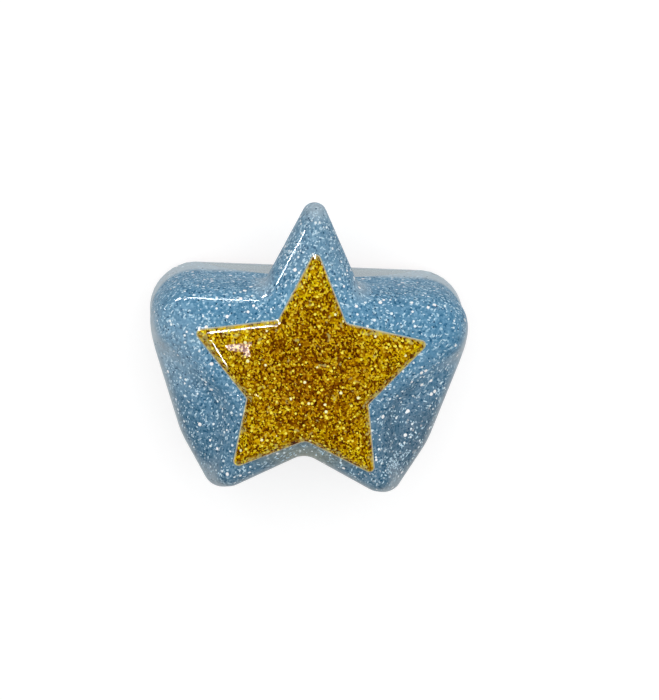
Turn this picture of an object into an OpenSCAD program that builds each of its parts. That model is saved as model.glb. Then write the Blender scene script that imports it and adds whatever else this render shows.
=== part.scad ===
// Star stamp: a cast glitter-resin handle with a gold star let into its face,
// on a foam cushion and a rubber die. It stands on the die, face up.
// Millimetres, +Z up, +Y towards the long top point of the star.
// The origin is on the die's printing face, straight below the middle of the gold star.

/* [Handle] */
// Height of the whole blue casting
handle_h = 19.6; // [16:0.1:24]
// Half width of the casting at its back
half_w = 22.9; // [21:0.1:25]
// How far the top point of the star reaches from the middle
point_y = 24.7; // [23:0.1:27]
// Height of the star's face above the slab behind it
star_step = 3.0; // [2:0.1:4]
// Radius of the rounded edge round the star's face
star_edge_r = 4.6; // [4:0.1:4.8]
// Radius of the rounded edge round the slab's face
slab_edge_r = 4.5; // [3:0.1:5]
// Taper of the slab's walls, wider at the back
draft_angle = 4; // [2:0.5:5]
// Height of the star's rounded underside, where it stands clear of the slab
star_under_h = 5.0; // [3:0.1:6]
// How far that underside draws in
star_under_in = 4.0; // [2:0.1:5]
// Bevel round the casting's back edge
back_bevel = 0.6; // [0.3:0.1:1]

/* [Gold star] */
// Depth of the recess that the gold star sits in
inlay_depth = 2.6; // [1.5:0.1:4]
// How far the gold star stands proud
inlay_proud = 1.3; // [1:0.1:1.5]
// Width and height of the bevel that rises from the blue face
inlay_bevel = 0.6; // [0.3:0.05:0.7]
// Clockwise turn of the gold star, set by hand in its recess
inlay_turn = 0.8; // [0:0.1:2]

/* [Clear back layer] */
// Height of the clear layer along the middle
clear_h = 7.8; // [4:0.1:10]
// Half width of the clear layer at the back face
clear_half_w = 16.5; // [12:0.1:20]

/* [Cushion and die] */
// Thickness of each double-sided adhesive film
film_t = 0.15; // [0.1:0.01:0.3]
// Thickness of the foam cushion
foam_t = 3.0; // [2:0.1:4]
// Thickness of the rubber under its raised design
die_floor_t = 1.5; // [1.2:0.1:2]
// Height of the raised design
relief_h = 1.2; // [0.8:0.1:1.4]
// How far the cushion and the die are trimmed in from the handle's edge
trim_in = 2.2; // [1.5:0.1:3]
// Size of the printed star, centre to point
print_r = 11; // [8:0.1:12]
// Size of the small printed star on each side of it
small_r = 3.2; // [2:0.1:4]
// Width of the printed star's line
line_w = 1.6; // [1:0.1:2.5]

/* [Hidden] */

// Steps in each rounded corner, in each rounded edge and in the dome.
corner_steps = 5;
edge_steps = 4;
dome_steps = 3;
// Smallest corner radius left when an outline is drawn in past a corner's own radius.
min_r = 0.15;
// Slack by which a cutting tool passes the face it cuts.
over = 1;

die_top = relief_h + die_floor_t;
foam_bottom = die_top + film_t;
foam_top = foam_bottom + foam_t;
base_z = foam_top + film_t;
face_z = base_z + handle_h;
slab_z = face_z - star_step;
inlay_bottom = face_z - inlay_depth;
inlay_top = face_z + inlay_proud;
clear_r = (clear_half_w * clear_half_w + clear_h * clear_h) / (2 * clear_h);

// Places of the printed star, of the small star and of the dot on the right.
print_at = [0, -2.6];
small_star_at = [15, 1.5];
dot_at = [11.5, -12.5];

// Right halves of the outlines, from the bottom notch to the top: [x, y, corner radius].
star_half = [[0, -12.0, 3.0], [12.9, -18.7, 2.4], [12.2, -4.9, 3.0], [20.9, 3.3, 3.0],
    [half_w + 0.1, 11.0, 5.0], [6.7, 10.9, 2.8], [0, point_y, 1.7]];
slab_half = [[0, -13.05, 3.0], [12.7, -19.85, 3.4], [18.0, -10.7, 16], [half_w - 0.5, 2.4, 14],
    [half_w, 12.0, 6.8]];
inlay_half = [[0, -9.3, 1.6], [9.8, -13.7, 0.7], [8.3, -3.8, 0.5], [16.1, 5.2, 0.7],
    [4.6, 7.2, 0.5], [0, 17.2, 0.7]];

// Whole outline, anticlockwise, from its right half.
function mirrored(half) = concat(half,
    [for (i = [len(half) - 1 : -1 : 1]) if (half[i].x > 0) [-half[i].x, half[i].y, half[i].z]]);

// Unit vector from a to b, and the inward normal of that edge.
function unit(a, b) = ([b.x, b.y] - [a.x, a.y]) / norm([b.x, b.y] - [a.x, a.y]);
function normal(u) = [-u.y, u.x];

// One rounded corner b between a and c, on the outline drawn in by inset.
function corner_arc(a, b, c, inset) =
    let (
        u = unit(a, b),
        w = unit(b, c),
        n1 = normal(u),
        n2 = normal(w),
        turn = atan2(u.x * w.y - u.y * w.x, u * w),
        side = turn > 0 ? 1 : -1,
        r = side > 0 ? max(b.z - inset, min_r) : b.z + inset,
        centre = [b.x, b.y] + (inset + side * r) * (n1 + n2) / (1 + n1 * n2),
        start = atan2(n1.y, n1.x)
    )
    [for (k = [0 : corner_steps])
        let (angle = start + turn * k / corner_steps)
        centre - side * r * [cos(angle), sin(angle)]];

// Points of the rounded outline, drawn in by inset.
function outline(corners, inset = 0) =
    let (n = len(corners))
    [for (i = [0 : n - 1])
        each corner_arc(corners[(i + n - 1) % n], corners[i], corners[(i + 1) % n], inset)];

// Solid through a stack of [inset, z] levels of one outline, lowest level first.
// The flat ends are fans from the Z axis, which every part of the outline can see.
module layered(corners, levels) {
    rings = [for (level = levels) [for (p = outline(corners, level[0])) [p.x, p.y, level[1]]]];
    n = len(rings[0]);
    last = len(levels) - 1;
    walls = [for (j = [0 : last - 1]) for (i = [0 : n - 1])
        let (k = (i + 1) % n)
        each [[j * n + i, (j + 1) * n + k, j * n + k], [j * n + i, (j + 1) * n + i, (j + 1) * n + k]]];
    floor_centre = len(levels) * n;
    roof_centre = floor_centre + 1;
    floor = [for (i = [0 : n - 1]) [i, (i + 1) % n, floor_centre]];
    roof = [for (i = [0 : n - 1]) [last * n + (i + 1) % n, last * n + i, roof_centre]];
    polyhedron(
        concat([for (ring = rings) each ring], [[0, 0, levels[0][1]], [0, 0, levels[last][1]]]),
        concat(walls, floor, roof));
}

// Levels of a quarter-round edge that starts at inset start, under a face at z.
function round_edge(start, z, r) = [for (k = [1 : edge_steps])
    let (angle = 90 * k / edge_steps)
    [start + r * (1 - cos(angle)), z - r + r * sin(angle)]];

// Levels of a shallow dome that carries on from a 45 degree bevel at inset start, up to z.
function dome_edge(start, z, rise) =
    let (r = rise / (1 - cos(45)))
    [for (k = [1 : dome_steps])
        let (angle = 45 * (1 - k / dome_steps))
        [start + r * (sin(45) - sin(angle)), z - r * (1 - cos(angle))]];

star_levels = concat(
    [for (angle = [90, 45]) [star_under_in * (1 - cos(angle)),
        face_z - star_edge_r - 1 - star_under_h * sin(angle)]],
    [[0, face_z - star_edge_r - 1], [0, face_z - star_edge_r]],
    round_edge(0, face_z, star_edge_r));

slab_wall_top = slab_z - slab_edge_r;
slab_draw_in = (slab_wall_top - base_z) * tan(draft_angle);
slab_levels = concat(
    [[back_bevel, base_z], [back_bevel * tan(draft_angle), base_z + back_bevel],
        [slab_draw_in, slab_wall_top]],
    round_edge(slab_draw_in, slab_z, slab_edge_r));

// Casting before the recess and the clear layer are taken out of it.
module slab() {
    layered(mirrored(slab_half), slab_levels);
}

// Barrel-shaped space of the clear layer, along Y.
module clear_barrel() {
    translate([0, 0, base_z + clear_h - clear_r]) rotate([90, 0, 0])
        cylinder(h = 4 * half_w, r = clear_r, center = true, $fn = 96);
}

// Outline of the cushion, the films and the die.
module trimmed(bottom, thickness) {
    translate([0, 0, bottom]) linear_extrude(thickness)
        polygon(outline(mirrored(slab_half), trim_in));
}

// Five-pointed star with its point towards +Y.
module star_2d(r) {
    waist = 0.5;
    polygon([for (i = [0 : 9]) let (reach = i % 2 == 0 ? r : r * waist)
        reach * [sin(i * 36), cos(i * 36)]]);
}

// Printed design: a star in outline round a solid star, with a small star and a dot each side.
module design_2d() {
    translate(print_at) difference() {
        star_2d(print_r);
        star_2d(print_r - 2 * line_w);
    }
    translate(print_at) star_2d(print_r * 0.42);
    for (side = [-1, 1]) {
        translate([side * small_star_at.x, small_star_at.y]) star_2d(small_r);
        translate([side * dot_at.x, dot_at.y]) circle(r = line_w * 0.75, $fn = 32);
    }
}

module handle() {
    color("lightsteelblue") difference() {
        union() {
            slab();
            layered(mirrored(star_half), star_levels);
        }
        rotate(-inlay_turn) translate([0, 0, inlay_bottom]) linear_extrude(inlay_depth + over)
            polygon(outline(mirrored(inlay_half)));
        clear_barrel();
    }
}

module star_inlay() {
    color("goldenrod") rotate(-inlay_turn)
        layered(mirrored(inlay_half), concat(
            [[0, inlay_bottom], [0, face_z], [inlay_bevel, face_z + inlay_bevel]],
            dome_edge(inlay_bevel, inlay_top, inlay_proud - inlay_bevel)));
}

module clear_base() {
    color("aliceblue") intersection() {
        slab();
        clear_barrel();
    }
}

module cushion_adhesive() {
    color("whitesmoke") trimmed(foam_top, film_t);
}

module foam_cushion() {
    color("gray") trimmed(foam_bottom, foam_t);
}

module die_adhesive() {
    color("whitesmoke") trimmed(die_top, film_t);
}

module rubber_die() {
    color("firebrick") union() {
        trimmed(relief_h, die_floor_t);
        linear_extrude(relief_h) design_2d();
    }
}

handle();
star_inlay();
clear_base();
cushion_adhesive();
foam_cushion();
die_adhesive();
rubber_die();
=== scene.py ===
"""Star stamp: a chunky star-faced handle of blue glitter resin with a gold star let into it.

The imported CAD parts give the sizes. This script makes the smooth castings, their glitter, the
cushion and the die, and sets the stage. Shapes are worked out in millimetres and written in metres.
"""
import math

import bmesh
import bpy
import numpy as np
from mathutils import Matrix, Vector


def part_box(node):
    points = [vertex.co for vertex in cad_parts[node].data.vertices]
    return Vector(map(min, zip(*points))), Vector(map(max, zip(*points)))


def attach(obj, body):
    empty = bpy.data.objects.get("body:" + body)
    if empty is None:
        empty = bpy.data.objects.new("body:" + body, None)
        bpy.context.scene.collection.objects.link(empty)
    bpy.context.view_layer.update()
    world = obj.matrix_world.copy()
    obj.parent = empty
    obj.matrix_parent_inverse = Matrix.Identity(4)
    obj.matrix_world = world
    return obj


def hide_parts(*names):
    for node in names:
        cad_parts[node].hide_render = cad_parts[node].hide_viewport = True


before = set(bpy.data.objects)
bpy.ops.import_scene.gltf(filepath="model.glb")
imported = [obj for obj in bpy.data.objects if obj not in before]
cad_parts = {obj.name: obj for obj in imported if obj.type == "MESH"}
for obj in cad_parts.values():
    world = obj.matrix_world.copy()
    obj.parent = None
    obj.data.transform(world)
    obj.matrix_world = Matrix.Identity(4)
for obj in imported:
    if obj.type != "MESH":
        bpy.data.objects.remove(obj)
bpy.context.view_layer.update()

MM = 0.001


# ---------------------------------------------------------------- sizes, in millimetres

def node_box(node):
    low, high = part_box(node)
    return np.array(low) / MM, np.array(high) / MM


handle_low, handle_high = node_box("handle")
inlay_low, inlay_high = node_box("star_inlay")
clear_low, clear_high = node_box("clear_base")

BASE_Z = handle_low[2]
FACE_Z = handle_high[2]
HALF_W = 22.9            # to the sharp corner of the shoulders' outline
STAR_STEP = 3.0
SLAB_Z = FACE_Z - STAR_STEP
STAR_EDGE_R = 4.6
STAR_SIDE_H = 6.0        # from the star's underside up to its front rounding
STAR_UNDER_Z = FACE_Z - STAR_EDGE_R - STAR_SIDE_H
SLAB_EDGE_R = 4.5
BACK_EDGE_R = 0.7
DRAFT = math.tan(math.radians(4))
SLAB_TRIM = 2.2          # how far the cushion is trimmed in from the slab's edge
BLEND_K = 1.6            # reach of the soft fillet between the star and the slab
INLAY_TURN = -0.8
INLAY_BEVEL = 0.6
CLEAR_H = clear_high[2] - BASE_Z
CLEAR_HALF_W = 16.5
CLEAR_R = (CLEAR_HALF_W ** 2 + CLEAR_H ** 2) / (2 * CLEAR_H)

# Right halves of the outlines, from the bottom notch to the top: x, y, corner radius.
STAR_HALF = [(0, -12.0, 3.0), (12.9, -18.7, 2.4), (12.2, -4.9, 3.0), (20.9, 3.3, 3.0),
             (HALF_W + 0.1, 11.0, 5.0), (6.7, 10.9, 2.8), (0, 24.7, 1.7)]
SLAB_HALF = [(0, -13.05, 3.0), (12.7, -19.85, 3.4), (18.0, -10.7, 16.0), (HALF_W - 0.5, 2.4, 14.0),
             (HALF_W, 12.0, 6.8)]
INLAY_HALF = [(0, -9.3, 1.6), (9.8, -13.7, 0.7), (8.3, -3.8, 0.5), (16.1, 5.2, 0.7),
              (4.6, 7.2, 0.5), (0, 17.2, 0.7)]


# ---------------------------------------------------------------- outlines

class Outline:
    """A closed outline of straight edges and true arcs, anticlockwise."""

    def __init__(self, half):
        corners = list(half) + [(-x, y, r) for x, y, r in reversed(half) if x > 0]
        self.edges, self.arcs = [], []
        n = len(corners)
        for i in range(n):
            a, b, c = (np.array(corners[(i + k) % n][:2], float) for k in (-1, 0, 1))
            r = corners[i][2]
            u = (b - a) / np.linalg.norm(b - a)
            w = (c - b) / np.linalg.norm(c - b)
            n1, n2 = np.array([-u[1], u[0]]), np.array([-w[1], w[0]])
            turn = math.atan2(u[0] * w[1] - u[1] * w[0], u @ w)
            side = 1 if turn > 0 else -1
            centre = b + side * r * (n1 + n2) / (1 + n1 @ n2)
            self.arcs.append((centre, r, side, math.atan2(n1[1], n1[0]), turn))
        for i in range(n):
            self.edges.append((self._arc_point(i, 1.0), self._arc_point((i + 1) % n, 0.0)))

    def _arc_point(self, i, t):
        centre, r, side, start, turn = self.arcs[i]
        angle = start + turn * t
        return centre - side * r * np.array([math.cos(angle), math.sin(angle)])

    def distance(self, x, y):
        """Signed distance to the outline, negative inside."""
        best = np.full(np.shape(x), 1e9)
        for p0, p1 in self.edges:
            along = p1 - p0
            length = np.linalg.norm(along)
            u = along / length
            dx, dy = x - p0[0], y - p0[1]
            t = np.clip(dx * u[0] + dy * u[1], 0, length)
            off = np.hypot(dx - t * u[0], dy - t * u[1])
            inside = dy * u[0] - dx * u[1] > 0
            best = np.where(off < np.abs(best), np.where(inside, -off, off), best)
        for centre, r, side, start, turn in self.arcs:
            dx, dy = x - centre[0], y - centre[1]
            reach = np.hypot(dx, dy)
            middle = start + turn / 2
            towards = -side * (dx * math.cos(middle) + dy * math.sin(middle))
            d = side * (reach - r)
            hit = (towards >= reach * math.cos(turn / 2)) & (np.abs(d) < np.abs(best))
            best = np.where(hit, d, best)
        return best


star_outline = Outline(STAR_HALF)
slab_outline = Outline(SLAB_HALF)


# ---------------------------------------------------------------- solid fields, negative inside

def rounded_meet(a, b, r):
    """Where two half spaces meet in a rounded edge of radius r."""
    qa, qb = a + r, b + r
    return np.minimum(np.maximum(qa, qb), 0) + np.hypot(np.maximum(qa, 0), np.maximum(qb, 0)) - r


def soft_join(a, b, k):
    h = np.maximum(k - np.abs(a - b), 0) / k
    return np.minimum(a, b) - h * h * k / 4


def body_field(x, y, z, star_d=None, slab_d=None):
    """The whole casting: the star block, rounded before and behind, softly joined to the slab."""
    star_d = star_outline.distance(x, y) if star_d is None else star_d
    slab_d = slab_outline.distance(x, y) if slab_d is None else slab_d
    star = np.maximum(rounded_meet(star_d, z - FACE_Z, STAR_EDGE_R),
                      rounded_meet(star_d, STAR_UNDER_Z - z, STAR_EDGE_R))
    drawn_in = slab_d + (z - BASE_Z) * DRAFT
    slab = rounded_meet(drawn_in, z - SLAB_Z, SLAB_EDGE_R)
    joined = soft_join(star, slab, BLEND_K)
    back = rounded_meet(slab_d, BASE_Z - z, BACK_EDGE_R)
    return np.maximum(joined, np.where(z < BASE_Z + 3, back, -1e3))


# ---------------------------------------------------------------- meshes

def new_object(name, verts, faces, smooth_angle=35):
    """Mesh object from points in millimetres."""
    mesh = bpy.data.meshes.new(name)
    mesh.from_pydata((np.asarray(verts) * MM).tolist(), [], [list(f) for f in faces])
    mesh.update()
    obj = bpy.data.objects.new(name, mesh)
    bpy.context.scene.collection.objects.link(obj)
    smooth(obj, smooth_angle)
    return obj


def smooth(obj, angle=35):
    obj.data.shade_smooth()
    obj.data.set_sharp_from_angle(angle=math.radians(angle))


def surface_net(field, low, high, step):
    """Quad mesh of the field's zero surface, one point per crossed grid cell."""
    axes = [np.arange(low[i], high[i] + step, step) for i in range(3)]
    values = field(*axes)
    inside = values < 0
    shape = np.array(inside.shape) - 1
    total = np.zeros(tuple(shape) + (3,))
    count = np.zeros(tuple(shape))

    def corner(a, d):
        return a[d[0]:d[0] + shape[0], d[1]:d[1] + shape[1], d[2]:d[2] + shape[2]]

    for axis in range(3):
        others = [i for i in range(3) if i != axis]
        for p in (0, 1):
            for q in (0, 1):
                d0 = [0, 0, 0]
                d0[others[0]], d0[others[1]] = p, q
                d1 = list(d0)
                d1[axis] = 1
                v0, v1 = corner(values, d0), corner(values, d1)
                hit = (v0 < 0) != (v1 < 0)
                t = np.where(hit, v0 / np.where(hit, v0 - v1, 1), 0)
                for i in range(3):
                    total[..., i] += np.where(hit, t if i == axis else d0[i], 0)
                count += hit
    cells = count > 0
    index = np.full(tuple(shape), -1)
    index[cells] = np.arange(cells.sum())
    place = np.argwhere(cells) + total[cells] / count[cells][:, None]
    verts = np.array(low) + place * step
    faces = []
    for axis in range(3):
        b, c = (axis + 1) % 3, (axis + 2) % 3
        a0 = np.moveaxis(inside, (axis, b, c), (0, 1, 2))
        idx = np.moveaxis(index, (axis, b, c), (0, 1, 2))
        change = a0[:-1, 1:-1, 1:-1] != a0[1:, 1:-1, 1:-1]
        i, j, k = np.nonzero(change)
        quad = np.stack([idx[i, j, k], idx[i, j + 1, k], idx[i, j + 1, k + 1], idx[i, j, k + 1]], 1)
        outward = a0[i, j + 1, k + 1]
        quad[~outward] = quad[~outward][:, ::-1]
        faces.append(quad)
    return verts, np.concatenate(faces)


def settle(verts, point_field, rounds=4, reach=0.05):
    """Moves points onto the field's zero surface."""
    for _ in range(rounds):
        value = point_field(*verts.T)
        slope = np.empty_like(verts)
        for i in range(3):
            ahead, behind = verts.copy(), verts.copy()
            ahead[:, i] += reach
            behind[:, i] -= reach
            slope[:, i] = (point_field(*ahead.T) - point_field(*behind.T)) / (2 * reach)
        square = np.maximum((slope ** 2).sum(1), 0.2)
        verts = verts - (value / square)[:, None] * slope
    return verts


def body_grid(xs, ys, zs):
    gx, gy = np.meshgrid(xs, ys, indexing="ij")
    star_d = star_outline.distance(gx, gy)[..., None]
    slab_d = slab_outline.distance(gx, gy)[..., None]
    return body_field(None, None, zs[None, None, :], star_d, slab_d)


def boolean(obj, cutter, operation):
    modifier = obj.modifiers.new("cut", "BOOLEAN")
    modifier.operation = operation
    modifier.object = cutter
    modifier.solver = "EXACT"
    bake_modifiers(obj)


def bake_modifiers(obj):
    """Applies the object's modifiers to its mesh."""
    bpy.context.view_layer.update()
    graph = bpy.context.evaluated_depsgraph_get()
    mesh = bpy.data.meshes.new_from_object(obj.evaluated_get(graph))
    old = obj.data
    obj.modifiers.clear()
    obj.data = mesh
    bpy.data.meshes.remove(old)


def turned(points, degrees):
    a = math.radians(degrees)
    return points @ np.array([[math.cos(a), math.sin(a)], [-math.sin(a), math.cos(a)]])


def drop(*objects):
    for obj in objects:
        bpy.data.objects.remove(obj)


def make_castings(inlay):
    """The blue handle and the clear layer, cut from one smooth body; the inlay cuts its own pocket."""
    step = 0.42
    margin = 1.5
    low = [handle_low[0] - margin, handle_low[1] - margin, BASE_Z - margin]
    high = handle_high + margin
    verts, faces = surface_net(body_grid, low, high, step)
    verts = settle(verts, body_field)
    handle = new_object("handle_casting", verts, faces)
    clear = new_object("clear_back_layer", verts, faces)
    bpy.ops.mesh.primitive_cylinder_add(
        vertices=192, radius=CLEAR_R * MM, depth=0.08,
        location=(0, 0, (BASE_Z + CLEAR_H - CLEAR_R) * MM), rotation=(math.pi / 2, 0, 0))
    barrel = bpy.context.object
    boolean(clear, barrel, "INTERSECT")
    boolean(handle, barrel, "DIFFERENCE")
    boolean(handle, inlay, "DIFFERENCE")
    drop(barrel)
    smooth(handle)
    smooth(clear)
    return handle, clear


def make_inlay():
    """The gold star: straight walls in the pocket, a bevel above the face, then a shallow dome."""
    top = inlay_high[2]
    bevel_steps = 4
    dome_steps = 14
    corner_steps = 8
    flat_insets = (2.38, 2.5)
    centre_inset = 4.0
    half_right = math.pi / 4
    dome_r = (top - FACE_Z - INLAY_BEVEL) / (1 - math.cos(half_right))
    rings = [(0.0, inlay_low[2]), (0.0, FACE_Z)]
    for k in range(1, bevel_steps + 1):
        rise = INLAY_BEVEL * k / bevel_steps
        rings.append((rise, FACE_Z + rise))
    for k in range(1, dome_steps + 1):
        a = half_right * (1 - k / dome_steps)
        inset = INLAY_BEVEL + dome_r * (math.sin(half_right) - math.sin(a))
        rings.append((inset, top - dome_r * (1 - math.cos(a))))
    rings += [(inset, top) for inset in flat_insets]
    verts, rim = [], []
    for inset, z in rings:
        ring = turned(inset_points(INLAY_HALF, inset, corner_steps), INLAY_TURN)
        verts += [(x, y, z) for x, y in ring]
        rim += [inset] * len(ring)
    n = len(verts) // len(rings)
    faces = ring_walls(len(rings), n)
    last = (len(rings) - 1) * n
    verts += [(0, 0, inlay_low[2]), (0, 0, top)]
    rim += [0.0, centre_inset]
    for i in range(n):
        k = (i + 1) % n
        faces.append([k, i, len(verts) - 2])
        faces.append([last + i, last + k, len(verts) - 1])
    star = new_object("gold_star", verts, faces, 30)
    star.data.attributes.new("rim_mm", "FLOAT", "POINT").data.foreach_set("value", rim)
    return star


def ring_walls(ring_count, n):
    """Quads between stacked rings of n points each."""
    faces = []
    for j in range(ring_count - 1):
        for i in range(n):
            k = (i + 1) % n
            faces.append([j * n + i, j * n + k, (j + 1) * n + k, (j + 1) * n + i])
    return faces


def inset_points(half, inset, steps, least_r=0.12):
    """Points of an outline drawn in by inset, with its sharp corners kept a little round."""
    drawn = []
    full = list(half) + [(-x, y, r) for x, y, r in reversed(half) if x > 0]
    n = len(full)
    for i in range(n):
        a, b, c = (np.array(full[(i + k) % n][:2], float) for k in (-1, 0, 1))
        u = (b - a) / np.linalg.norm(b - a)
        w = (c - b) / np.linalg.norm(c - b)
        n1, n2 = np.array([-u[1], u[0]]), np.array([-w[1], w[0]])
        turn = math.atan2(u[0] * w[1] - u[1] * w[0], u @ w)
        side = 1 if turn > 0 else -1
        r = max(full[i][2] - inset, least_r) if side > 0 else full[i][2] + inset
        centre = b + (inset + side * r) * (n1 + n2) / (1 + n1 @ n2)
        start = math.atan2(n1[1], n1[0])
        for k in range(steps + 1):
            angle = start + turn * k / steps
            drawn.append(centre - side * r * np.array([math.cos(angle), math.sin(angle)]))
    return np.array(drawn)


def copy_of(node, name):
    """A new piece with the CAD node's mesh, its doubled points joined."""
    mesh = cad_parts[node].data.copy()
    mesh.materials.clear()
    obj = bpy.data.objects.new(name, mesh)
    bpy.context.scene.collection.objects.link(obj)
    bm = bmesh.new()
    bm.from_mesh(mesh)
    bmesh.ops.remove_doubles(bm, verts=bm.verts, dist=1e-6)
    bmesh.ops.dissolve_limit(bm, angle_limit=math.radians(1), verts=bm.verts, edges=bm.edges)
    bm.to_mesh(mesh)
    bm.free()
    return obj


def make_die():
    """The rubber die, with its moulded edges softened."""
    die = copy_of("rubber_die", "die")
    bevel = die.modifiers.new("moulded_edges", "BEVEL")
    bevel.width = 0.12 * MM
    bevel.segments = 2
    bevel.limit_method = "ANGLE"
    bevel.angle_limit = math.radians(35)
    bake_modifiers(die)
    smooth(die, 30)
    return die


def make_foam():
    """The cushion: its cut side walls draw in a little between the two films."""
    low, high = node_box("foam_cushion")
    levels = 14
    waist = 0.16
    rng = np.random.default_rng(5)
    rings = []
    for j in range(levels + 1):
        t = j / levels
        rings.append((SLAB_TRIM + waist * math.sin(math.pi * t), low[2] + (high[2] - low[2]) * t))
    verts = []
    for inset, z in rings:
        ring = even_points(inset_points(SLAB_HALF, inset, 12), 260)
        verts += [(x, y, z) for x, y in ring]
    n = len(verts) // len(rings)
    verts = np.array(verts)
    inner = slice(n, n * levels)
    centre = verts[:, :2].mean(0)
    out = verts[inner, :2] - centre
    out /= np.linalg.norm(out, axis=1)[:, None]
    verts[inner, :2] -= out * rng.uniform(0, 0.07, len(out))[:, None]
    faces = ring_walls(len(rings), n)
    faces.append(list(range(n))[::-1])
    faces.append([levels * n + i for i in range(n)])
    return new_object("cushion", verts, faces, 50)


def even_points(points, count):
    """The closed outline again, as evenly spaced points."""
    loop = np.vstack([points, points[:1]])
    run = np.concatenate([[0], np.cumsum(np.linalg.norm(np.diff(loop, axis=0), axis=1))])
    s = np.linspace(0, run[-1], count, endpoint=False)
    return np.stack([np.interp(s, run, loop[:, 0]), np.interp(s, run, loop[:, 1])], 1)


# ---------------------------------------------------------------- materials

class Nodes:
    """Short calls for building one material's nodes."""

    def __init__(self, name):
        self.material = bpy.data.materials.new(name)
        self.material.use_nodes = True
        self.tree = self.material.node_tree
        self.shader = self.tree.nodes["Principled BSDF"]

    def add(self, kind, links=None, **settings):
        node = self.tree.nodes.new(kind)
        for key, value in settings.items():
            setattr(node, key, value)
        for key, value in (links or {}).items():
            self.feed(node.inputs[key], value)
        return node

    def feed(self, socket, value):
        if isinstance(value, bpy.types.NodeSocket):
            self.tree.links.new(value, socket)
        else:
            socket.default_value = value

    def math(self, operation, a, b=0.0, c=0.0):
        return self.add("ShaderNodeMath", {0: a, 1: b, 2: c}, operation=operation).outputs[0]

    def mix(self, factor, a, b, blend="MIX"):
        node = self.add("ShaderNodeMix", data_type="RGBA", blend_type=blend)
        self.feed(node.inputs[0], factor)
        self.feed(node.inputs[6], a)
        self.feed(node.inputs[7], b)
        return node.outputs[2]

    def ramp(self, value, stops):
        node = self.add("ShaderNodeValToRGB", {0: value})
        ramp = node.color_ramp
        for k, (place, colour) in enumerate(stops):
            stop = ramp.elements[k] if k < 2 else ramp.elements.new(place)
            stop.position = place
            stop.color = tuple(colour) + (1,)
        return node.outputs[0]

    def set(self, **values):
        for key, value in values.items():
            self.feed(self.shader.inputs[key.replace("_", " ")], value)


def srgb(r, g, b):
    """Linear colour from 0 to 255 display values."""
    return tuple(((c / 255 + 0.055) / 1.055) ** 2.4 if c > 10 else c / 255 / 12.92 for c in (r, g, b))


def rgba(colour):
    return tuple(colour) + (1,)


def cells(m, place, size_mm, seed, stretch=(1, 1, 1)):
    """Random flakes: a random value, a random colour and the distance from each flake's middle."""
    links = {"Vector": place,
             "Location": (seed * 0.0037, seed * 0.0011, seed * 0.0023),
             "Rotation": (0.7 * seed, 0.4 * seed, 1.3 * seed),
             "Scale": [size_mm * MM * k for k in stretch]}
    mapped = m.add("ShaderNodeMapping", links, vector_type="TEXTURE")
    found = m.add("ShaderNodeTexVoronoi", {"Vector": mapped.outputs[0], "Scale": 1.0},
                  voronoi_dimensions="3D", feature="F1")
    value = m.add("ShaderNodeSeparateColor", {0: found.outputs["Color"]}).outputs[0]
    return value, found.outputs["Color"], found.outputs["Distance"]


def scattered(m, place, size_mm, seed, share, radius, stretch=(1, 1, 1)):
    """Mask of separate flakes that fill a share of their cells."""
    value, _, distance = cells(m, place, size_mm, seed, stretch)
    return m.math("MULTIPLY", m.math("LESS_THAN", value, share), m.math("LESS_THAN", distance, radius))


def tilted_normal(m, colour, amount):
    """The surface normal, turned a little at random for each flake."""
    centred = m.add("ShaderNodeVectorMath", {0: colour, 1: (0.5, 0.5, 0.5)}, operation="SUBTRACT").outputs[0]
    scaled = m.add("ShaderNodeVectorMath", {0: centred, "Scale": amount}, operation="SCALE").outputs[0]
    normal = m.add("ShaderNodeNewGeometry").outputs["Normal"]
    added = m.add("ShaderNodeVectorMath", {0: normal, 1: scaled}, operation="ADD").outputs[0]
    return m.add("ShaderNodeVectorMath", {0: added}, operation="NORMALIZE").outputs[0]


def poured_surface(m, place):
    """Coat normal of a cast face: very slightly wavy."""
    wave = m.add("ShaderNodeTexNoise", {"Vector": place, "Scale": 330.0, "Detail": 1.0}).outputs["Fac"]
    depth = 0.012 * MM
    return m.add("ShaderNodeBump", {"Height": wave, "Strength": 1.0, "Distance": depth}).outputs[0]


def cast_finish(m, place, base, flake_colour, coat):
    """Flakes that tilt the light their own way, under the smooth glossy face of the casting."""
    m.set(Base_Color=base, Roughness=0.5, Normal=tilted_normal(m, flake_colour, 0.5),
          Specular_IOR_Level=0.0, Coat_Weight=coat, Coat_Roughness=0.015, Coat_IOR=1.5,
          Coat_Normal=poured_surface(m, place))


def blob(m, place, centre_mm, reach_mm):
    """1 at a point, falling to 0 at a distance from it."""
    away = m.add("ShaderNodeVectorMath", {0: place, 1: [v * MM for v in centre_mm]},
                 operation="SUBTRACT").outputs[0]
    away = m.add("ShaderNodeVectorMath", {0: away, 1: [1 / (v * MM) for v in reach_mm]},
                 operation="MULTIPLY").outputs[0]
    away = m.add("ShaderNodeVectorMath", {0: away}, operation="LENGTH").outputs[1]
    return m.ramp(away, [(0.2, (1, 1, 1)), (1.0, (0, 0, 0))])


HEIGHT_SPAN = 30         # millimetres of height that the blue resin's depth ramp covers
LENGTH_SPAN = 40         # millimetres that its lengthwise ramps cover, from FEET_Y before the middle
FEET_Y = 18


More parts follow.
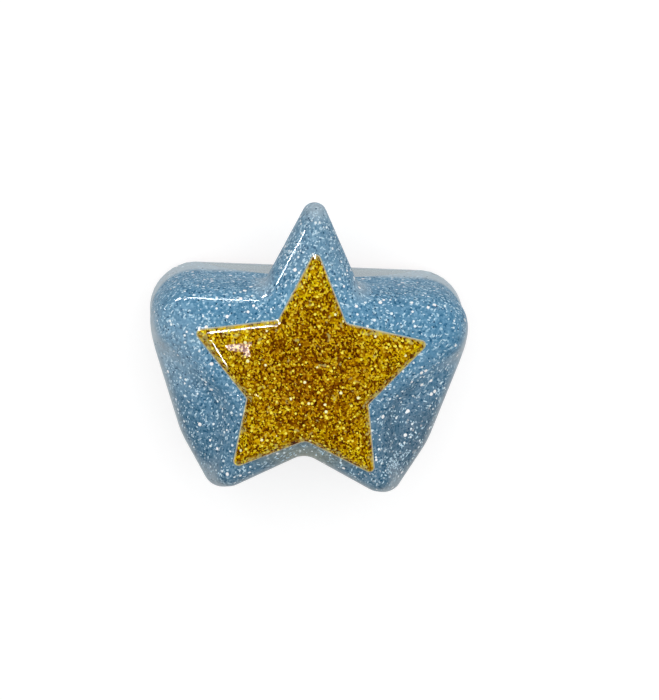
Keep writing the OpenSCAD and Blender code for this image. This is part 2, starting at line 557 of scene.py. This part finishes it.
def blue_glitter():
    """Blue resin cast face down: the flakes lie thick by the face and thin out towards the back. Light and
    shade are painted into its colour too: paler side walls, shade towards the feet and on the lower right,
    light on the left side and under the gold star.
    """
    m = Nodes("blue_glitter_resin")
    place = m.add("ShaderNodeTexCoord").outputs["Object"]
    split = m.add("ShaderNodeSeparateXYZ", {0: place})
    height = m.math("MULTIPLY", split.outputs[2], 1 / (HEIGHT_SPAN * MM))
    clear = m.ramp(height, [(0.36, (0.75,) * 3), (0.44, (0.0,) * 3)])
    along = m.math("MULTIPLY_ADD", split.outputs[1], 1 / (LENGTH_SPAN * MM), FEET_Y / LENGTH_SPAN)
    clear = m.math("MAXIMUM", clear, m.ramp(along, [(0.72, (0, 0, 0)), (0.83, (0.08,) * 3)]))
    clear = m.math("MAXIMUM", clear, m.math("MULTIPLY", blob(m, place, (0, 22.5, 23), (3.2, 3.2, 6)), 0.5))
    for side in (-1, 1):
        mist = m.math("MULTIPLY", blob(m, place, (side * 6.6, 12.0, 21), (2.0, 3.0, 8)), 0.4)
        clear = m.math("MAXIMUM", clear, mist)
    # Painted light: walls that face sideways or down, away from the top of the star, are painted paler, as if
    # light came through thin resin; fewer flakes show there too.
    face = m.add("ShaderNodeSeparateXYZ", {0: m.add("ShaderNodeNewGeometry").outputs["Normal"]})
    painted_wall_pallor = m.math("MULTIPLY", m.ramp(face.outputs[2], [(0.2, (0.95,) * 3), (0.68, (0, 0, 0))]),
                  m.ramp(face.outputs[1], [(0.15, (1, 1, 1)), (0.45, (0, 0, 0))]))
    painted_wall_pallor = m.math("MULTIPLY", painted_wall_pallor, m.ramp(along, [(0.55, (1, 1, 1)), (0.68, (0, 0, 0))]))
    # From here clear carries both the clear resin and the painted paler walls.
    clear = m.math("MAXIMUM", clear, painted_wall_pallor)
    thick = m.math("SUBTRACT", 1.0, clear)
    fine, fine_colour, _ = cells(m, place, 0.27, 1)
    base = m.ramp(fine, [(0.0, srgb(48, 104, 142)), (0.12, srgb(86, 140, 173)), (0.45, srgb(102, 152, 184)),
                         (0.8, srgb(117, 164, 195)), (0.94, srgb(142, 186, 213)), (1.0, srgb(196, 228, 245))])
    # Painted shade: the blue is darker and greyer below the middle, towards the feet and the bottom notch,
    # and lightest across the middle and the arms.
    tint = m.ramp(along, [(0.0, (0.98, 0.84, 0.78)), (0.12, (0.84, 0.74, 0.71)),
                          (0.3, (0.86, 0.78, 0.76)), (0.47, (1.0, 0.98, 0.98)),
                          (0.62, (0.92, 0.94, 0.95)), (0.75, (1.0, 0.98, 0.97)),
                          (0.9, (1.0, 0.95, 0.93))])
    base = m.mix(1.0, base, tint, "MULTIPLY")
    patch, _, _ = cells(m, place, 0.5, 21, (1.8, 0.8, 0.8))
    base = m.mix(1.0, base, m.ramp(patch, [(0.1, (0.78, 0.85, 0.88)), (0.5, (1.0, 1.0, 1.0))]), "MULTIPLY")
    cloud = m.add("ShaderNodeTexNoise", {"Vector": place, "Scale": 160.0, "Detail": 2.0}).outputs["Fac"]
    base = m.mix(1.0, base, m.ramp(cloud, [(0.35, (0.88, 0.91, 0.92)), (0.65, (1.0, 1.0, 1.0))]), "MULTIPLY")
    # Painted shade: the lower right web is darker and greyer, away from the light on the left.
    painted_shade_right = blob(m, place, (16, -9, 22), (10, 13, 20))
    base = m.mix(painted_shade_right, base, m.mix(1.0, base, (1.0, 0.84, 0.80, 1.0), "MULTIPLY"))
    # Pale colour where the resin is clear, and painted paleness on the walls.
    base = m.mix(clear, base, rgba(srgb(204, 214, 219)))
    # Painted light: the left side is paler, towards the light.
    painted_light_left = m.math("MULTIPLY", blob(m, place, (-19, 2, 20), (7, 9, 12)), 0.3)
    base = m.mix(painted_light_left, base, rgba(srgb(196, 216, 228)))
    # Painted light: a pale warm glow below the gold star's bottom notch.
    painted_glow_under_star = m.math("MULTIPLY", blob(m, place, (0, -11.4, 23), (10, 3, 8)), 0.5)
    base = m.mix(painted_glow_under_star, base, rgba(srgb(182, 178, 146)))
    cluster = m.math("MULTIPLY", blob(m, place, (12.6, -12.4, 23), (3.2, 2.0, 6)), 0.5)
    crowd = m.ramp(along, [(0.74, (0.058,) * 3), (0.86, (0.11,) * 3)])
    few = m.math("MULTIPLY", thick, crowd)
    for seed in (6, 7, 8):
        share = m.math("MULTIPLY_ADD", cluster, 0.5, few)
        dash = scattered(m, place, 0.26, seed, share, 0.5, (2.8, 0.8, 0.8))
        base = m.mix(dash, base, rgba(srgb(196, 223, 238)))
    base = m.mix(scattered(m, place, 0.34, 2, few, 0.36), base, rgba(srgb(38, 74, 104)))
    base = m.mix(scattered(m, place, 0.44, 9, few, 0.42), base, rgba(srgb(236, 247, 252)))
    big = scattered(m, place, 0.95, 3, m.math("MULTIPLY", thick, 0.12), 0.27)
    base = m.mix(big, base, rgba((1.0, 1.0, 1.0)))
    cast_finish(m, place, base, fine_colour, 0.17)
    return m.material


def gold_glitter():
    """Gold resin: crowded flakes, darker amber in the middle, with clear resin showing by the rim."""
    m = Nodes("gold_glitter_resin")
    place = m.add("ShaderNodeTexCoord").outputs["Object"]
    rim = m.add("ShaderNodeAttribute", attribute_name="rim_mm").outputs["Fac"]
    fine, fine_colour, _ = cells(m, place, 0.3, 4, (1.5, 0.9, 0.9))
    patch, _, _ = cells(m, place, 0.62, 17, (1.4, 0.9, 0.9))
    base = m.ramp(fine, [(0.0, srgb(80, 40, 0)), (0.2, srgb(130, 82, 0)), (0.45, srgb(172, 128, 0)),
                         (0.7, srgb(214, 178, 0)), (0.87, srgb(250, 224, 10)), (1.0, srgb(255, 248, 84))])
    shade = m.ramp(patch, [(0.0, (0.72, 0.56, 0.4)), (0.3, (0.9, 0.76, 0.6)),
                           (0.7, (1.0, 0.94, 0.9)), (1.0, (0.94, 1.0, 1.0))])
    base = m.mix(1.0, base, shade, "MULTIPLY")
    middle = m.math("SUBTRACT", 1.0, blob(m, place, (0, -1, 26), (15, 15, 15)))
    base = m.mix(1.0, base, m.ramp(middle, [(0.0, (0.57, 0.39, 0.2)), (1.0, (1.0, 1.0, 1.0))]), "MULTIPLY")
    ragged = m.add("ShaderNodeTexNoise", {"Vector": place, "Scale": 1100.0, "Detail": 1.0}).outputs["Fac"]
    near_rim = m.ramp(rim, [(0.0, (0.24,) * 3), (0.9, (0.11,) * 3), (1.0, (0.02,) * 3)])
    bare = m.math("MULTIPLY_ADD", blob(m, place, (-12.5, 4.8, 26), (7, 5, 8)), 0.1, near_rim)
    gap = m.ramp(m.math("ADD", ragged, bare), [(0.70, (0, 0, 0)), (0.78, (0.6,) * 3)])
    base = m.mix(gap, base, rgba(srgb(206, 194, 110)))
    for seed in (11, 12, 13):
        dash = scattered(m, place, 0.25, seed, 0.07, 0.5, (2.2, 0.9, 0.9))
        base = m.mix(dash, base, rgba(srgb(226, 196, 30)))
    for seed in (14, 16):
        dark = scattered(m, place, 0.27, seed, 0.10, 0.5, (2.0, 0.9, 0.9))
        base = m.mix(dark, base, rgba(srgb(92, 48, 0)))
    base = m.mix(scattered(m, place, 0.5, 15, 0.11, 0.38), base, rgba(srgb(252, 236, 84)))
    base = m.mix(scattered(m, place, 0.95, 5, 0.15, 0.22), base, rgba(srgb(255, 252, 190)))
    edge = m.ramp(rim, [(0.05, (0.85,) * 3), (0.22, (0, 0, 0))])
    base = m.mix(edge, base, rgba(srgb(200, 200, 180)))
    glint = m.math("MULTIPLY_ADD", m.math("GREATER_THAN", fine, 0.55), 0.35, 0.15)
    glint = m.math("MULTIPLY_ADD", blob(m, place, (-12.7, 3.7, 26.6), (2.4, 2.4, 4)), 0.5, glint)
    cast_finish(m, place, base, fine_colour, glint)
    return m.material


def clear_resin():
    m = Nodes("clear_resin")
    place = m.add("ShaderNodeTexCoord").outputs["Object"]
    cloud = m.add("ShaderNodeTexNoise", {"Vector": place, "Scale": 220.0, "Detail": 3.0}).outputs["Fac"]
    tint = m.ramp(cloud, [(0.3, srgb(158, 196, 212)), (0.7, srgb(176, 208, 222))])
    m.set(Base_Color=tint, Roughness=0.08, IOR=1.5)
    m.set(Transmission_Weight=0.55)
    return m.material


def film():
    m = Nodes("adhesive_film")
    place = m.add("ShaderNodeTexCoord").outputs["Object"]
    cloud = m.add("ShaderNodeTexNoise", {"Vector": place, "Scale": 900.0, "Detail": 2.0}).outputs["Fac"]
    m.set(Base_Color=m.ramp(cloud, [(0.3, srgb(226, 226, 220)), (0.7, srgb(238, 238, 233))]), Roughness=0.35)
    return m.material


def foam():
    m = Nodes("cushion_foam")
    place = m.add("ShaderNodeTexCoord").outputs["Object"]
    pores = m.add("ShaderNodeTexVoronoi", {"Vector": place, "Scale": 1 / (0.28 * MM)}).outputs["Distance"]
    cloud = m.add("ShaderNodeTexNoise", {"Vector": place, "Scale": 500.0, "Detail": 3.0}).outputs["Fac"]
    colour = m.mix(cloud, rgba(srgb(150, 152, 155)), rgba(srgb(176, 178, 180)))
    # Painted shade: the pores are darker than the cell walls around them.
    walls = m.ramp(pores, [(0.15, (0, 0, 0)), (0.6, (1, 1, 1))])
    colour = m.mix(walls, rgba(srgb(118, 120, 124)), colour)
    bump = m.add("ShaderNodeBump", {"Height": pores, "Strength": 0.5, "Distance": 0.05 * MM}).outputs[0]
    m.set(Base_Color=colour, Roughness=0.9, Normal=bump)
    return m.material


def rubber():
    m = Nodes("die_rubber")
    place = m.add("ShaderNodeTexCoord").outputs["Object"]
    cloud = m.add("ShaderNodeTexNoise", {"Vector": place, "Scale": 350.0, "Detail": 4.0}).outputs["Fac"]
    grain = m.add("ShaderNodeTexNoise", {"Vector": place, "Scale": 6000.0, "Detail": 2.0}).outputs["Fac"]
    colour = m.ramp(cloud, [(0.3, srgb(148, 58, 48)), (0.7, srgb(170, 74, 60))])
    bump = m.add("ShaderNodeBump", {"Height": grain, "Strength": 0.3, "Distance": 0.02 * MM}).outputs[0]
    m.set(Base_Color=colour, Roughness=m.ramp(cloud, [(0.3, (0.55,) * 3), (0.7, (0.7,) * 3)]), Normal=bump)
    return m.material


def floor_material():
    m = Nodes("floor")
    place = m.add("ShaderNodeTexCoord").outputs["Object"]
    cloud = m.add("ShaderNodeTexNoise", {"Vector": place, "Scale": 30.0}).outputs["Fac"]
    m.set(Base_Color=m.ramp(cloud, [(0.3, (0.38, 0.38, 0.38)), (0.7, (0.40, 0.40, 0.40))]), Roughness=0.9,
          Specular_IOR_Level=0.0, Emission_Color=(1, 1, 1, 1), Emission_Strength=0.69)
    return m.material


def dress(piece, material, slot, *nodes):
    """Material, body and CAD nodes of one new piece; slot, the finish's name, is not used."""
    piece.data.materials.clear()
    piece.data.materials.append(material)
    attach(piece, "root")
    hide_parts(*nodes)


# ---------------------------------------------------------------- stage

def camera_axes(tilt, side, roll):
    """Camera axes: back towards the camera, right and up in the picture."""
    t, s, r = (math.radians(v) for v in (tilt, side, roll))
    back = Vector((math.sin(s) * math.cos(t), math.sin(t), math.cos(s) * math.cos(t))).normalized()
    right = Vector((0, 1, 0)).cross(back).normalized()
    up = back.cross(right)
    return back, math.cos(r) * right + math.sin(r) * up, math.cos(r) * up - math.sin(r) * right


def stand(obj, at, back, right, up):
    """Puts a camera or a light in place, looking along -back."""
    m = Matrix((right, up, back)).transposed().to_4x4()
    m.translation = at
    obj.matrix_world = m


def add_camera():
    data = bpy.data.cameras.new("camera")
    cam = bpy.data.objects.new("camera", data)
    bpy.context.scene.collection.objects.link(cam)
    distance = 270
    view_size = 97.65         # what the picture's longer side takes in, at the target
    sensor = 36
    target = Vector((0, 0, 16))
    back, right, up = camera_axes(11, -2.2, 2.5)
    stand(cam, (target + back * distance) * MM, back, right, up)
    data.sensor_width = sensor
    data.lens = sensor * distance / view_size
    data.shift_x = 0.0319
    data.shift_y = 0.0146
    data.clip_start = 0.01
    data.clip_end = 10
    bpy.context.scene.camera = cam


def add_light(name, at, about, size, radiance, colour=(1, 1, 1), shows=True):
    """A rectangular light facing a point; one that shows is seen as a reflection in the resin."""
    data = bpy.data.lights.new(name, "AREA")
    data.shape = "RECTANGLE"
    data.size, data.size_y = (v * MM for v in size)
    data.color = colour
    data.energy = radiance * data.size * data.size_y * math.pi
    light = bpy.data.objects.new(name, data)
    bpy.context.scene.collection.objects.link(light)
    back = (Vector(at) - Vector(about)).normalized()
    side = Vector((0, 0, 1)) if abs(back.z) < 0.9 else Vector((0, 1, 0))
    right = side.cross(back).normalized()
    stand(light, Vector(at) * MM, back, right, back.cross(right))
    light.visible_camera = False
    light.visible_glossy = shows
    light.visible_diffuse = not shows


def add_stage():
    world = bpy.data.worlds.new("studio")
    bpy.context.scene.world = world
    world.use_nodes = True
    world.node_tree.nodes["Background"].inputs[0].default_value = (1, 1, 1, 1)
    world.node_tree.nodes["Background"].inputs[1].default_value = 0.05
    bpy.ops.mesh.primitive_circle_add(vertices=96, radius=1.5, fill_type="NGON", location=(0, 0, 0))
    floor = bpy.context.object
    floor.name = "floor"
    floor.data.materials.append(floor_material())
    add_light("softbox", (0, 150, 650), (0, 0, 15), (800, 800), 2.9, shows=False)
    add_light("back_window", (-28, 303, 84), (-13, 9, 24), (47, 30), 120)
    add_light("back_window_far_pane", (-74, 290, 106), (-10, 6, 26), (44, 36), 120)
    add_light("back_window_left_pane", (-168, 262, 64), (-18, 9, 24), (84, 44), 120)
    add_light("left_window", (-287, 112, 26), (-3, 14, 24), (23, 34), 120)
    add_light("side_lamp", (-183.5, -178.5, 195), (-12.8, 3.9, 26.7), (2.4, 300), 90)
    add_light("overhead_lamp", (-10, -52, 321), (-11, 3, 27), (7, 2.4), 34, (1.0, 0.82, 0.9))
    add_light("overhead_lamp_end", (-19, -49, 321), (-11, 3, 27), (3.0, 5.0), 60)
    bpy.context.scene.view_settings.view_transform = "Standard"


add_camera()
inlay = make_inlay()
handle, clear = make_castings(inlay)
dress(handle, blue_glitter(), "blue_glitter_resin", "handle")
dress(clear, clear_resin(), "clear_resin", "clear_base")
dress(inlay, gold_glitter(), "gold_glitter_resin", "star_inlay")
dress(make_die(), rubber(), "die_rubber", "rubber_die")
cushion = make_foam()
dress(cushion, foam(), "cushion_foam", "foam_cushion")
film_material = film()
for name in ("cushion_adhesive", "die_adhesive"):
    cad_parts[name].data.materials.clear()
    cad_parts[name].data.materials.append(film_material)
add_stage()
